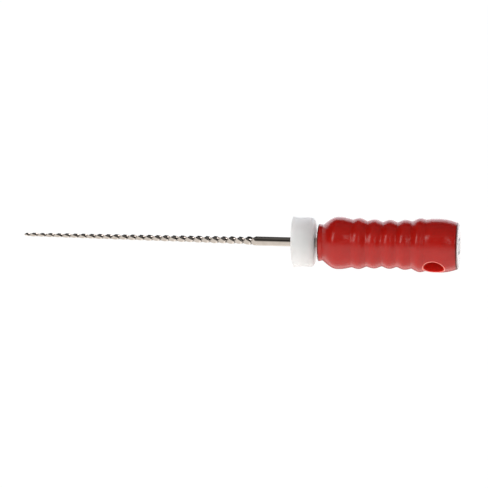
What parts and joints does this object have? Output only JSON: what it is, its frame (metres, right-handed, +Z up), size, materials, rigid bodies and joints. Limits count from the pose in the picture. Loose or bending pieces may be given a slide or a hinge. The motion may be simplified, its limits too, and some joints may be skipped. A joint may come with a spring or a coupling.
{
  "type": "endodontic file",
  "caption": "Hand file for root canals: a tapered twisted steel blade in a ribbed moulded finger grip, with a sliding silicone stop and a hole for a safety thread.",
  "frame": {"origin": "centre of the flat end face of the butt, on the tool's axis", "axes": "+X out of the butt along the tool's axis, so the blade's tip points to -X; +Z up as the tool lies"},
  "size_m": [0.0309, 0.0038, 0.0038],
  "materials": {
    "steel": "polished stainless steel",
    "grip_red": "glossy moulded plastic",
    "disc_white": "glossy moulded plastic",
    "silicone_white": "satin translucent silicone"
  },
  "bodies": {
    "file": {"file_wire": "steel", "grip": "grip_red", "end_disc": "disc_white"},
    "stop": {"silicone_stop": "silicone_white"}
  },
  "joints": [
    {"name": "stop_slide", "type": "slide", "parent": "file", "child": "stop", "axis": [-1, 0, 0], "range_m": [-0.0002, 0.018]}
  ]
}
